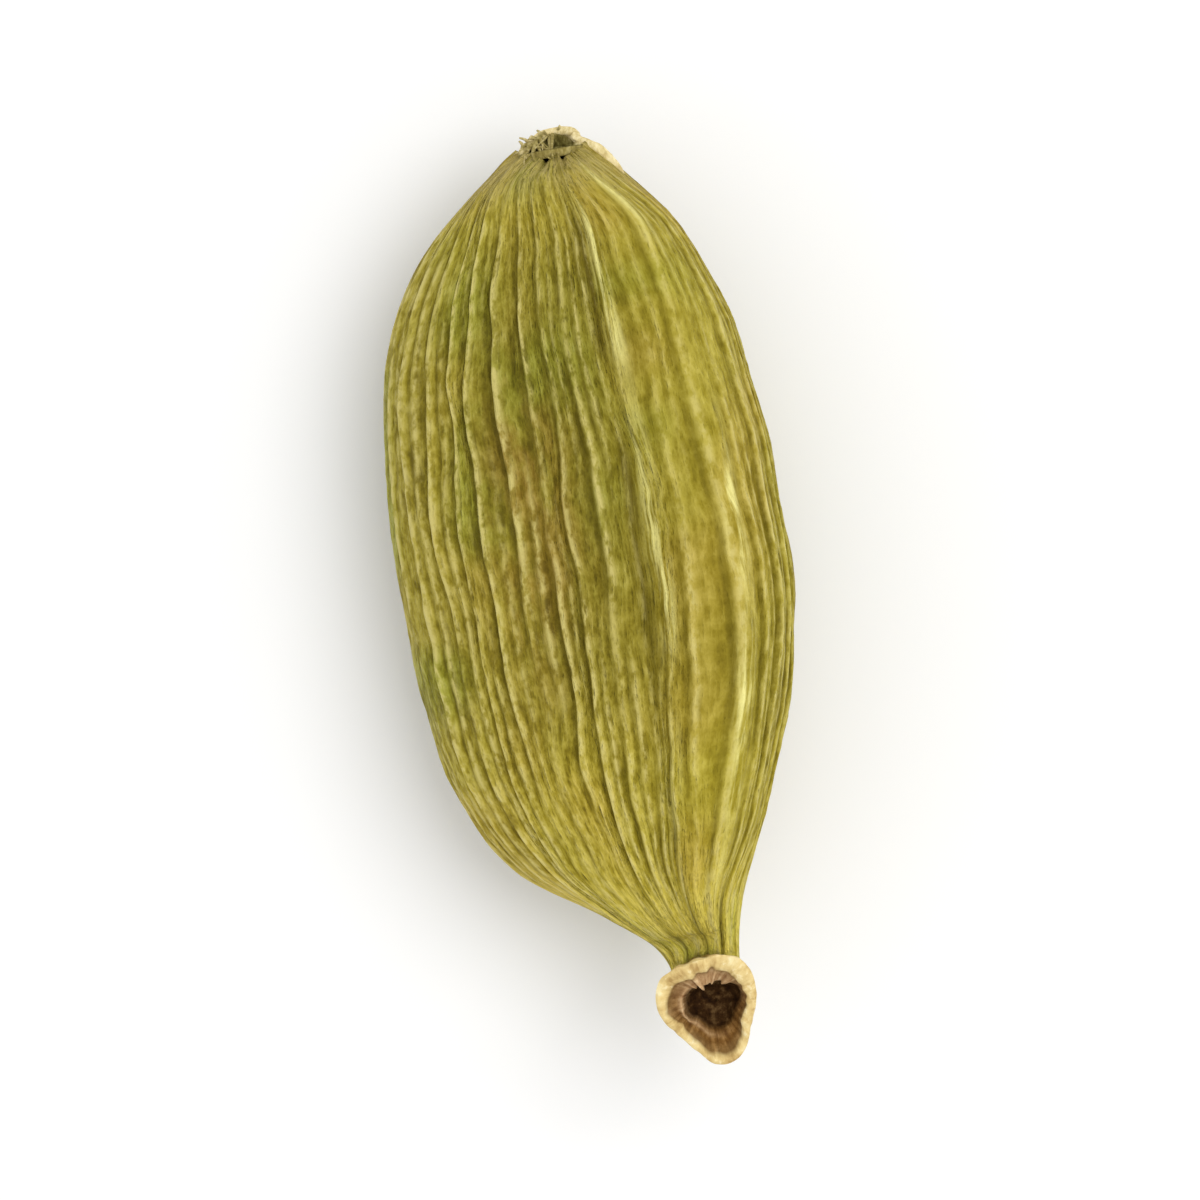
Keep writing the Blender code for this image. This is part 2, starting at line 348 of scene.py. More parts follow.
def relief(turn, angle, along, radius, wave):
    """Height of ribs, keels and seed bulges over the plain section; wave is the ribs' own form."""
    strength = 0.78 + 0.22 * np.sin(10 * turn + 0.35 * along) * np.sin(4 * turn + 1.0)
    ribbed = ramp(radius, *RIBBED_RADII)
    height = RIB_HEIGHT * strength * calmed(angle) * ribbed * wave
    height += NECK_RIB_HEIGHT * (1.0 - ribbed) * np.cos(RIB_COUNT / 2 * turn)
    for keel in KEEL_ANGLES:
        height += KEEL_HEIGHT * ribbed * near(angle, keel, KEEL_WIDTH)
    full = ramp(radius, 1.8, 3.2)
    for row, face in enumerate(FACE_ANGLES):
        bumps = np.cos(FULL_TURN * (along / SEED_SPACING + row / 3))
        height += SEED_BULGE * full * bumps * near(angle, face, 0.5)
    return height * (1.0 - REST_SMOOTHING * full * near(angle, -90.0, 0.45))


def bent_axis(along):
    """Place and lean of the pod's axis in the XZ plane, straight and then turning up at the neck."""
    lean = np.clip((along - BEND_START) / BEND_RADIUS, 0.0, BEND_ANGLE)
    past = np.maximum(0.0, along - BEND_START - BEND_RADIUS * BEND_ANGLE)
    x = np.minimum(along, BEND_START) + BEND_RADIUS * np.sin(lean) + past * np.cos(lean)
    z = BEND_RADIUS * (1.0 - np.cos(lean)) + past * np.sin(lean)
    return x, z + AXIS_RISE * (along / HUSK_END) ** 2, lean


def axis_point(along):
    """X, Y and Z of the pod's axis at one distance along it, and its lean there."""
    at = np.array([along])
    x, z, lean = (float(values[0]) for values in bent_axis(at))
    return x, float(husk_widths(at)[1][0]), z, lean


def husk_points(turn, along, wave, wander=0.0, extra=0.0):
    """Points of the husk's skin: its ribs have the form of the wave, and extra lies over them."""
    radius, sideways = husk_widths(along)
    angle = rib_angle(turn, along) + wander
    across, up = three_sided(angle)
    three = ramp(radius, ROUND_BELOW_RADIUS, THREE_SIDED_ABOVE_RADIUS)
    across = three * across + (1.0 - three) * np.cos(angle)
    up = three * up + (1.0 - three) * np.sin(angle)
    thick = 1.0 - (1.0 - THICKNESS_RATIO) * three
    raised = relief(turn, angle, along, radius, wave) + extra
    y = sideways + across * radius + raised * np.cos(angle)
    out = up * radius * thick + raised * np.sin(angle)
    x, z, lean = bent_axis(along)
    return np.stack((x - out * np.sin(lean), y, z + out * np.cos(lean)), axis=-1)


def pod_offset():
    """Move, in millimetres, from the pod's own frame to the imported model's."""
    turn, along = np.meshgrid(np.linspace(-math.pi, math.pi, 8 * RIB_COUNT + 1),
                              np.linspace(HUSK_START, HUSK_END, 200), indexing="ij")
    plain = husk_points(turn, along, np.cos(RIB_COUNT * turn)).reshape(-1, 3)
    low, high = (np.array(corner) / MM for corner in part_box("husk"))
    middle = (low[1] + high[1] - plain[:, 1].min() - plain[:, 1].max()) / 2.0
    return np.array((low[0] - HUSK_START, middle, high[2] - plain[:, 2].max()))


OFFSET = pod_offset()


def grid_faces(rings, steps):
    """Quads of a tube of rings, each closed on itself."""
    ring, step = np.meshgrid(np.arange(rings - 1), np.arange(steps), indexing="ij")
    follow = (step + 1) % steps
    quads = np.stack((ring * steps + step, ring * steps + follow,
                      (ring + 1) * steps + follow, (ring + 1) * steps + step), axis=-1)
    return [tuple(quad) for quad in quads.reshape(-1, 4).tolist()]


def new_piece(name, points, faces, attributes, paint):
    """Object of a mesh in millimetres, smooth, with its painted attributes."""
    mesh = bpy.data.meshes.new(name)
    mesh.from_pydata((points * MM).tolist(), [], faces)
    for label, values in attributes.items():
        values = values.astype(np.float32)
        if values.ndim == 2:
            mesh.attributes.new(label, "FLOAT_VECTOR", "POINT").data.foreach_set("vector", values.ravel())
        else:
            mesh.attributes.new(label, "FLOAT", "POINT").data.foreach_set("value", values)
    mesh.materials.append(paint)
    mesh.shade_smooth()
    mesh.update()
    piece = bpy.data.objects.new(name, mesh)
    bpy.context.scene.collection.objects.link(piece)
    return piece


class Graph:
    """Node graph of one material, with short ways to add nodes."""

    def __init__(self, name, roughness, specular):
        self.material = bpy.data.materials.new(name)
        self.material.use_nodes = True
        self.tree = self.material.node_tree
        self.shader = self.tree.nodes["Principled BSDF"]
        self.shader.inputs["Roughness"].default_value = roughness
        self.shader.inputs["Specular IOR Level"].default_value = specular

    def put(self, socket, value):
        """Sets a socket, or links it if the value is another node's output."""
        if isinstance(value, bpy.types.NodeSocket):
            self.tree.links.new(value, socket)
        else:
            socket.default_value = value

    def attribute(self, name, output="Fac"):
        """Value painted on the mesh's points."""
        node = self.tree.nodes.new("ShaderNodeAttribute")
        node.attribute_name = name
        return node.outputs[output]

    def stretch(self, vector, scale):
        """Coordinates scaled along each axis; below 1 draws a texture out that way."""
        node = self.tree.nodes.new("ShaderNodeMapping")
        self.put(node.inputs["Vector"], vector)
        node.inputs["Scale"].default_value = scale
        return node.outputs["Vector"]

    def noise(self, vector, scale, detail, roughness):
        """Noise texture over the coordinates."""
        node = self.tree.nodes.new("ShaderNodeTexNoise")
        self.put(node.inputs["Vector"], vector)
        node.inputs["Scale"].default_value = scale
        node.inputs["Detail"].default_value = detail
        node.inputs["Roughness"].default_value = roughness
        return node.outputs["Fac"]

    def between(self, value, low, high, to_low=0.0, to_high=1.0):
        """Soft step from one value to another while the input goes from low to high."""
        node = self.tree.nodes.new("ShaderNodeMapRange")
        node.interpolation_type = "SMOOTHSTEP"
        self.put(node.inputs["Value"], value)
        node.inputs["From Min"].default_value = low
        node.inputs["From Max"].default_value = high
        node.inputs["To Min"].default_value = to_low
        node.inputs["To Max"].default_value = to_high
        return node.outputs["Result"]

    def calculate(self, operation, first, second):
        """Sum or product of two values."""
        node = self.tree.nodes.new("ShaderNodeMath")
        node.operation = operation
        self.put(node.inputs[0], first)
        self.put(node.inputs[1], second)
        return node.outputs["Value"]

    def plus(self, first, second):
        """First and second added."""
        return self.calculate("ADD", first, second)

    def times(self, first, second):
        """First and second multiplied."""
        return self.calculate("MULTIPLY", first, second)

    def average(self, first, second):
        """Half of each."""
        return self.plus(self.times(first, 0.5), self.times(second, 0.5))

    def colours(self, value, *stops):
        """Colour ramp; a stop is a place from 0 to 1 and then a display colour."""
        node = self.tree.nodes.new("ShaderNodeValToRGB")
        self.put(node.inputs["Fac"], value)
        marks = node.color_ramp.elements
        marks[0].position, marks[1].position = stops[0][0], stops[-1][0]
        for stop in stops[1:-1]:
            marks.new(stop[0])
        for mark, stop in zip(marks, stops):
            mark.color = srgb(*stop[1:])
        return node.outputs["Color"]

    def blend(self, first, second, factor, mode="MIX"):
        """First colour turning into the second, or treated with it, by the factor."""
        node = self.tree.nodes.new("ShaderNodeMix")
        node.data_type = "RGBA"
        node.blend_type = mode
        self.put(node.inputs["Factor"], factor)
        self.put(node.inputs[6], first)
        self.put(node.inputs[7], second)
        return node.outputs[2]

    def bumps(self, *layers):
        """Normal of bumps over each other; a layer is a height, its distance in metres and its strength."""
        normal = None
        for height, distance, strength in layers:
            node = self.tree.nodes.new("ShaderNodeBump")
            self.put(node.inputs["Height"], height)
            node.inputs["Distance"].default_value = distance
            node.inputs["Strength"].default_value = strength
            if normal is not None:
                self.put(node.inputs["Normal"], normal)
            normal = node.outputs["Normal"]
        return normal

    def finish(self, colour, normal, roughness=None):
        """Links the looks to the shader and gives the material."""
        self.put(self.shader.inputs["Base Color"], colour)
        self.put(self.shader.inputs["Normal"], normal)
        if roughness is not None:
            self.put(self.shader.inputs["Roughness"], roughness)
        return self.material


def husk_material():
    """Dry ribbed skin: olive grooves with painted shade, pale broken crests with painted highlights, mottled
    bands and a papery grain.
    """
    g = Graph("husk_skin", 0.62, 0.12)
    weft = g.attribute("weft", "Vector")
    wave, crest_highlight, groove_shade, keel = (g.attribute(name) for name in ("wave", "crest_highlight", "groove_shade", "keel"))
    tone, along, patch = (g.attribute(name) for name in ("tone", "along", "patch"))
    belt, lit_side_tint, rough = (g.attribute(name) for name in ("belt", "lit_side_tint", "rough"))

    fibres = g.noise(g.stretch(weft, (0.10, 1.0, 1.0)), 5.5, 5.0, 0.62)
    dashes = g.noise(g.stretch(weft, (0.24, 1.0, 1.0)), 8.5, 2.0, 0.5)
    mottle = g.noise(g.stretch(weft, (0.45, 1.0, 1.0)), 1.5, 4.0, 0.6)
    dabs = g.noise(g.stretch(weft, (0.55, 1.0, 1.0)), 6.0, 3.0, 0.6)
    grain = g.noise(g.stretch(weft, (0.40, 1.0, 1.0)), 18.0, 2.0, 0.6)
    hair = g.noise(g.stretch(weft, (0.05, 1.0, 1.0)), 15.0, 3.0, 0.6)
    wrinkle = g.noise(g.stretch(weft, (1.0, 0.4, 0.4)), 8.0, 2.0, 0.5)

    # The ribs' own form makes the skin lighter at the crests and darker in the grooves: painted highlight
    # and shade.
    level = g.plus(g.times(wave, 0.17), 0.44)
    for texture, share in ((fibres, 0.50), (dabs, 1.00), (dashes, 0.85),
                           (mottle, 0.30), (grain, 0.55), (hair, 0.60)):
        level = g.plus(level, g.times(g.plus(texture, -0.5), g.times(rough, share)))
    skin = g.colours(level, (0.06, 104, 91, 8), (0.32, 136, 122, 28), (0.54, 162, 148, 52),
                     (0.76, 184, 170, 78), (0.98, 198, 184, 100))

    # Drifts of tone, the stretch before the neck, the dark belt, painted light on the upper side facing the
    # lamp, the brown patch, the neck and the stalk end
    for tint, where in (
        ((0.64, 0.88, 0.52), g.between(tone, 0.10, 1.0, 0.0, 0.50)),
        ((1.06, 0.88, 1.20), g.between(tone, -0.10, -0.9, 0.0, 0.35)),
        ((1.22, 1.22, 1.22), g.between(along, 0.60, 0.78)),
        ((0.72, 0.71, 0.62), belt),
        # Painted light on the upper side that faces the lamp.
        ((1.16, 1.17, 1.22), lit_side_tint),
        ((0.86, 0.62, 0.70), g.times(patch, g.between(mottle, 0.36, 0.60))),
        ((1.88, 1.90, 3.10), g.between(along, 0.79, 0.92)),
        ((1.22, 1.20, 1.40), g.between(along, 0.17, 0.04)),
    ):
        skin = g.blend(skin, (*tint, 1.0), where, "MULTIPLY")

    # Dry edge of the stalk end, painted shade in the grooves, painted highlights on the crests, pale ridges
    # with a painted highlight, and a brown line of painted shadow under the collar
    for shade, where in (
        ((184, 166, 98), g.times(g.between(along, 0.075, 0.0), g.between(dabs, 0.35, 0.62, 0.25, 0.9))),
        # Painted shade along the grooves.
        ((92, 80, 4), g.times(groove_shade, g.between(fibres, 0.30, 0.62, 0.90, 0.40))),
        # Painted highlights along the crests.
        ((200, 187, 114), g.times(crest_highlight, g.between(dabs, 0.40, 0.58, 0.10, 0.90))),
        # Pale ridge colour with a painted highlight along the keel.
        ((236, 228, 146), g.times(keel, g.between(fibres, 0.42, 0.60))),
        # Brown line of painted shadow where the neck meets the collar.
        ((104, 84, 30), g.between(along, 0.965, 0.998, 0.0, 0.70)),
    ):
        skin = g.blend(skin, srgb(*shade), where)

    normal = g.bumps((grain, 0.000035, 0.8), (hair, 0.000040, 0.8), (wrinkle, 0.000040, 0.7),
                     (dabs, 0.000070, 0.8), (dashes, 0.000060, 0.8))
    return g.finish(skin, normal, g.between(dabs, 0.35, 0.65, 0.70, 0.50))


def collar_material():
    """Withered flower tube: cream rim, tan outside, reddish inner wall and a nearly black pit, dark tissue
    deepened with painted shade of the hollow.
    """
    g = Graph("collar_tissue", 0.75, 0.05)
    weft, spoke = g.attribute("weft", "Vector"), g.attribute("spoke", "Vector")
    grain = g.noise(weft, 7.0, 5.0, 0.62)
    soft = g.noise(weft, 2.6, 3.0, 0.5)
    streaks = g.average(g.noise(spoke, 8.0, 3.0, 0.6), grain)
    cream = g.colours(g.average(soft, streaks), (0.38, 176, 144, 88), (0.46, 210, 182, 120),
                      (0.54, 228, 204, 142), (0.62, 238, 220, 166))
    cream = g.blend(cream, srgb(248, 234, 190), g.between(grain, 0.55, 0.70, 0.0, 0.55))
    wall = g.colours(streaks, (0.34, 74, 44, 14), (0.50, 110, 76, 34), (0.64, 152, 114, 64))
    outer = g.colours(grain, (0.28, 104, 84, 38), (0.50, 142, 118, 60), (0.75, 184, 156, 98))
    # Pit colour: dark tissue deepened towards black as painted shade of the hollow.
    pit_dark_and_shade = g.colours(grain, (0.36, 34, 18, 6), (0.52, 58, 36, 14), (0.68, 96, 72, 42))
    tan = g.colours(streaks, (0.34, 178, 132, 88), (0.50, 220, 182, 134), (0.64, 242, 216, 174))
    skin = wall
    for colour, name in ((outer, "outside"), (pit_dark_and_shade, "pit"), (tan, "teeth"), (cream, "rim")):
        skin = g.blend(skin, colour, g.attribute(name))
    return g.finish(skin, g.bumps((grain, 0.000035, 0.7), (streaks, 0.000045, 0.7)))


def stub_material():
    """Torn stalk: pale fibres round an olive hollow."""
    g = Graph("stub_fibre", 0.80, 0.03)
    grain = g.noise(g.stretch(g.attribute("weft", "Vector"), (0.4, 1.0, 1.0)), 12.0, 5.0, 0.6)
    skin = g.colours(grain, (0.30, 112, 98, 48), (0.50, 150, 136, 76), (0.72, 184, 170, 112))
    light = g.colours(grain, (0.30, 186, 164, 104), (0.50, 222, 204, 148), (0.70, 240, 226, 180))
    hollow = g.colours(grain, (0.36, 56, 48, 14), (0.50, 88, 80, 34), (0.64, 124, 116, 66))
    skin = g.blend(skin, light, g.attribute("pale"))
    skin = g.blend(skin, hollow, g.attribute("pit"))
    return g.finish(skin, g.bumps((grain, 0.000040, 0.7)))


def floor_material():
    """Plain pale table top."""
    g = Graph("pale_floor", 0.9, 0.1)
    g.shader.inputs["Base Color"].default_value = (0.88, 0.88, 0.88, 1.0)
    return g.material


def rib_wave(phase):
    """Form of the ribs from -1 to 1: a sharp crest, a narrow groove beside it and a long slope."""
    part = phase % 1.0
    fall = np.cos(math.pi * np.minimum(part / GROOVE_PLACE, 1.0))
    rise = 2.0 * np.clip((part - GROOVE_PLACE) / (1.0 - GROOVE_PLACE), 0.0, 1.0) ** 1.25 - 1.0
    return np.where(part < GROOVE_PLACE, fall, rise)


def band(phase, centre, spread):
    """1 along a line of each rib, given in shares of the pitch from its crest."""
    return bell((phase - centre + 0.5) % 1.0 - 0.5, spread)


class FineHusk:
    """Grid of the husk's skin, ring after ring, with its ribs, second ridge and neck folds."""

    def __init__(self):
        phases = (np.arange(RIB_COUNT)[:, None] + np.array(COLUMNS)[None, :]).ravel()
        turns = phases * (FULL_TURN / RIB_COUNT) - math.pi
        crowded = (1.0 - np.cos(np.linspace(0.0, math.pi, RINGS))) / 2.0
        even = np.linspace(0.0, 1.0, RINGS)
        stations = HUSK_START + HUSK_LENGTH * (RING_CROWDING * crowded + (1.0 - RING_CROWDING) * even)
        self.along, self.turn = np.meshgrid(stations, turns, indexing="ij")
        self.part = self.turn / FULL_TURN
        self.past = self.along - HUSK_START
        self.share = self.past / HUSK_LENGTH
        self.phase = RIB_COUNT * (self.turn + math.pi) / FULL_TURN
        self.radius = husk_widths(self.along)[0]
        self.ribbed = ramp(self.radius, *RIBBED_RADII)
        self.lay_ribs()
        self.lay_second_ridge()
        self.lay_neck_folds()

    def noise(self, cells_round, cells_long, seed):
        """Smooth noise over the husk."""
        return noise(self.part, self.share, cells_round, cells_long, seed)

    def lay_ribs(self):
        """Ribs of uneven strength that waver, and a weaker set between them."""
        self.strong = np.clip(0.72 + 0.62 * self.noise(RIB_COUNT, 5, 23), 0.12, 1.35)
        self.strong *= ramp(self.along, *RIB_FADE)
        self.strong *= 1.0 + 0.25 * self.noise(RIB_COUNT, 24, 25)
        self.strong *= 1.0 + 0.35 * near(self.turn, *BOLD_RIBS)
        self.weaker = BETWEEN_RIB_SHARE * ramp(self.noise(RIB_COUNT, 4, 35), -0.45, 0.35)
        self.weaker *= ramp(self.along, *SHOULDER)
        wander = self.noise(RIB_COUNT, 7, 27) + 0.45 * self.noise(RIB_COUNT, 20, 28)
        self.wander = CREST_WANDER * (wander + 0.20 * self.noise(RIB_COUNT, 44, 30))
        self.angle = rib_angle(self.turn, self.along) + self.wander
        between = rib_wave(self.phase + BETWEEN_SHIFT) * band(self.phase, *BETWEEN_BAND)
        self.wave = rib_wave(self.phase) * self.strong + self.weaker * between

    def lay_second_ridge(self):
        """Low broken ridge a little way round from the keel, with a groove along its far side."""
        strength = self.ribbed * ramp(self.noise(9, 7, 34), -1.0, -0.3)
        strength *= ramp(self.along, *SECOND_RIDGE_START) * (1.0 - 0.6 * ramp(self.along, *SECOND_RIDGE_END))
        self.second_crest = strength * near(self.angle, *SECOND_CREST)
        self.second_groove = strength * near(self.angle, *SECOND_GROOVE)

    def lay_neck_folds(self):
        """Few broad folds that take the place of the ribs at the neck."""
        self.neck = ramp(self.along, *NECK) * (1.0 - 0.6 * self.ribbed)
        self.fold = np.cos(NECK_FOLDS * self.turn + 1.1 * self.noise(9, 5, 95) + 0.8 * np.sin(2 * self.turn))

    def fine_relief(self):
        """Height that the solid leaves out: fine striae, cross crinkles and shallow dents."""
        striae = self.noise(110, 16, 5) + 0.5 * self.noise(170, 26, 7)
        crinkle = self.noise(64, 88, 11) + 0.6 * self.noise(110, 120, 13)
        dents = self.noise(9, 10, 17) + 0.5 * self.noise(21, 19, 19)
        fine = self.ribbed * (STRIA_HEIGHT * striae + CRINKLE_HEIGHT * crinkle)
        fine += DENT_DEPTH * ramp(self.radius, 1.2, 3.0) * dents
        return fine + NECK_STRIA_HEIGHT * (1 - self.ribbed) * striae

    def torn_edge(self):
        """Move along the pod that draws the stalk end's edge back at the top and tears it."""
        flat = np.zeros_like(self.part)
        drawn = MOUTH_DRAWN_BACK * near(self.turn, *MOUTH_SIDE) * bell(self.past, MOUTH_REACH)
        ragged = EDGE_TEAR * noise(self.part, flat, 20, 1, 91)
        ragged += EDGE_FINE_TEAR * noise(self.part, flat, 60, 1, 93)
        return drawn + ragged * bell(self.past, EDGE_TEAR_REACH)

    def points(self):
        """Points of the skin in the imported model's frame."""
        neck_ribs = np.cos(RIB_COUNT * self.turn) * ramp(self.along, *TOWARDS_NECK)
        form = self.ribbed * self.wave + (1.0 - self.ribbed) * neck_ribs
        extra = self.fine_relief() + SECOND_CREST_HEIGHT * self.second_crest
        extra += NECK_FOLD_HEIGHT * self.neck * self.fold
        extra -= SECOND_GROOVE_DEPTH * self.second_groove
        extra -= EDGE_ROUNDING * bell(self.past, EDGE_ROUNDING_REACH)
        points = husk_points(self.turn, self.along, form, self.wander * self.ribbed, extra) + OFFSET
        points[..., 2] = np.maximum(points[..., 2], 0.0)
        points[..., 0] += self.torn_edge()
        return points

    def painted_light_lines(self):
        """Painted highlights along the crests, painted shade along the grooves, and pale ridges with a
        painted highlight.
        """
        calm, lift = calmed(self.angle), self.noise(24, 11, 33)
        strong = ramp(self.radius, 0.5, 1.6) * np.clip(self.strong * calm, 0.0, 1.0)
        weaker = 1.2 * self.weaker * calm
        crest_highlight = strong * band(self.phase, *CREST_HIGHLIGHT_LINE) + weaker * band(self.phase, *BETWEEN_CREST_HIGHLIGHT_LINE)
        groove_shade = strong * band(self.phase, *GROOVE_SHADE_LINE) + weaker * band(self.phase, *BETWEEN_GROOVE_SHADE_LINE)
        groove_shade = np.maximum(groove_shade, 1.4 * self.second_groove)
        # Pale ridge with a painted highlight along the keel and along the second crest.
        keel = near(self.angle, *PALE_RIDGE_HIGHLIGHT) * ramp(lift, -0.35, 0.25) * self.ribbed
        return {
            # Painted highlight on the tops of the neck folds and painted shade in their hollows.
            "crest_highlight": np.maximum(crest_highlight, 0.85 * self.neck * np.clip(self.fold, 0.0, 1.0) ** 3),
            "groove_shade": np.maximum(groove_shade, 1.10 * self.neck * np.clip(-self.fold, 0.0, 1.0) ** 3),
            "keel": np.maximum(keel, 0.75 * self.second_crest * ramp(lift, -0.9, -0.1)),
        }

    def marks(self):
        """Everything that the husk's material reads from the points."""
        along, angle, blotch = self.along, self.angle, self.noise(11, 9, 37)
        shoulder = ramp(along, *SHOULDER)
        aside, upward = TEXTURE_RADIUS * np.cos(self.turn), TEXTURE_RADIUS * np.sin(self.turn)
        patch = bell(along - BROWN_PATCH_MIDDLE, BROWN_PATCH_REACH) * near(angle, *BROWN_PATCH)
        belt = near(angle, *DARK_BELT) * shoulder * (1.0 - ramp(along, *BELT_END))
        return {
            "wave": self.wave * self.ribbed,
            **self.painted_light_lines(),
            "tone": 0.6 * self.noise(6, 4, 29) + 0.8 * self.noise(15, 12, 31),
            "along": self.share,
            "patch": patch * (0.60 + 0.40 * blotch),
            "belt": belt * (0.7 + 0.3 * blotch),
            "lit_side_tint": near(angle, *LIT_SIDE_BELT) * shoulder * (1.0 - ramp(along, *TOWARDS_NECK)),
            "rough": (1.0 - 0.45 * near(angle, *SMOOTH_BELT)) * (1.0 - 0.40 * ramp(along, *NECK_SMOOTH)),
            "weft": np.stack((along, aside, upward), axis=-1),
        }


def with_middles(values):
    """Values of a grid's points, and after them the mean of its first ring and of its last."""
    return np.concatenate((values.reshape(-1, *values.shape[2:]), values[[0, -1]].mean(axis=1)))


def husk_faces(steps):
    """Quads between the rings, and a fan of triangles to the middle of each end."""
    faces = grid_faces(RINGS, steps)
    first_middle, last_middle = RINGS * steps, RINGS * steps + 1
    last_ring = (RINGS - 1) * steps
    for step in range(steps):
        follow = (step + 1) % steps
        faces.append((first_middle, follow, step))
        faces.append((last_middle, last_ring + step, last_ring + follow))
    return faces


def husk_piece():
    """Fine husk in place of the solid's, with a shallow funnel in its stalk end."""
    husk = FineHusk()
    points = husk.points()
    cloud = with_middles(points)
    cloud[-2, 0] += MOUTH_DEPTH
    marks = {label: with_middles(values) for label, values in husk.marks().items()}
    return new_piece("husk_ribbed", cloud, husk_faces(points.shape[1]), marks, husk_material())


def profile_of(labels, rows, per_span):
    """Values of each label down a profile, with extra points on the straight spans between the rows."""
    rows = np.array(rows, dtype=float)
    coarse = np.arange(len(rows))
    fine = np.arange((len(rows) - 1) * per_span + 1) / per_span
    return {label: np.interp(fine, coarse, column) for label, column in zip(labels, rows.T)}


def turned_piece(name, profile, steps, shape, place, paint, more=None):
    """Piece turned from a profile, closed by a face over its first ring and narrow at its last.

    The shape turns the profile's values into points and marks. More gives further points, faces and marks
    of the same piece.
    """
    turns = np.arange(steps) / steps * FULL_TURN - math.pi
    turn = np.meshgrid(profile["height"], turns, indexing="ij")[1]
    turned = {label: np.repeat(values[:, None], steps, axis=1) for label, values in profile.items()}
    local, marks = shape(turn, turned)
    cloud = place(local.reshape(-1, 3))
    faces = grid_faces(*turn.shape)
    faces.append(tuple(range(steps))[::-1])
    marks = {label: values.reshape(-1, *values.shape[2:]) for label, values in marks.items()}
    if more:
        points, extra_faces, extra_marks = more
        faces += [tuple(i + len(cloud) for i in face) for face in extra_faces]
        cloud = np.concatenate((cloud, points))
        marks = {label: np.concatenate((values, extra_marks[label])) for label, values in marks.items()}
    marks["weft"] = cloud
    return new_piece(name, cloud + OFFSET, faces, marks, paint)


def round_values(turn, values):
    """Values given at even steps round the axis, from the lip on, with soft steps between."""
    place = turn / FULL_TURN % 1.0 * len(values)
    i = np.floor(place).astype(int) % len(values)
    values = np.array(values)
    share = ramp(place - np.floor(place), 0.0, 1.0)
    return values[i] * (1.0 - share) + values[(i + 1) % len(values)] * share


def collar_profile():
    """Collar's profile: up its outside, over the rim and down into the pit.

    A row has its height, then how much its radius takes of the base's, of the rim's, of the rim's width and
    of the pit's, and then how much of it is rim, pit and outside.
    """
    top = COLLAR_LENGTH
    labels = ("height", "base", "outer", "width", "pit_edge", "rim", "pit", "outside")
    return profile_of(labels, (
        (-TUCK_IN - BUTT_GAP, 0.97, 0, 0, 0, 0, 0, 1),
        (0.04, 1, 0, 0, 0, 0, 0, 1),
        (top * 0.30, 0.78, 0.24, 0, 0, 0.1, 0, 1),
        (top * 0.62, 0.25, 0.75, 0, 0, 0.6, 0, 1),
        (top * 0.84, 0, 0.985, 0, 0, 1, 0, 0.8),
        (top * 0.93, 0, 1, 0, 0, 1, 0, 0.3),
        (top * 0.985, 0, 1, -0.18, 0, 1, 0, 0),
        (top, 0, 1, -0.45, 0, 1, 0, 0),
        (top * 0.98, 0, 1, -0.80, 0, 1, 0, 0),
        (top * 0.94, 0, 1, -1, 0, 0.8, 0, 0),
        (top * 0.88, 0, 0.88, -0.88, 0.12, 0.1, 0, 0),
        (top * 0.79, 0, 0.5, -0.5, 0.5, 0, 0, 0),
        (top * 0.71, 0, 0.15, -0.15, 0.85, 0, 0, 0),
        (top * 0.66, 0, 0, 0, 1, 0, 0.35, 0),
        (top * 0.50, 0, 0, 0, 0.90, 0, 1, 0),
        (COLLAR_FLOOR + 0.05, 0, 0, 0, 0.66, 0, 1, 0),
        (COLLAR_FLOOR, 0, 0, 0, 0.3, 0, 1, 0),
        (COLLAR_FLOOR, 0, 0, 0, 0.02, 0, 1, 0),
    ), 5)


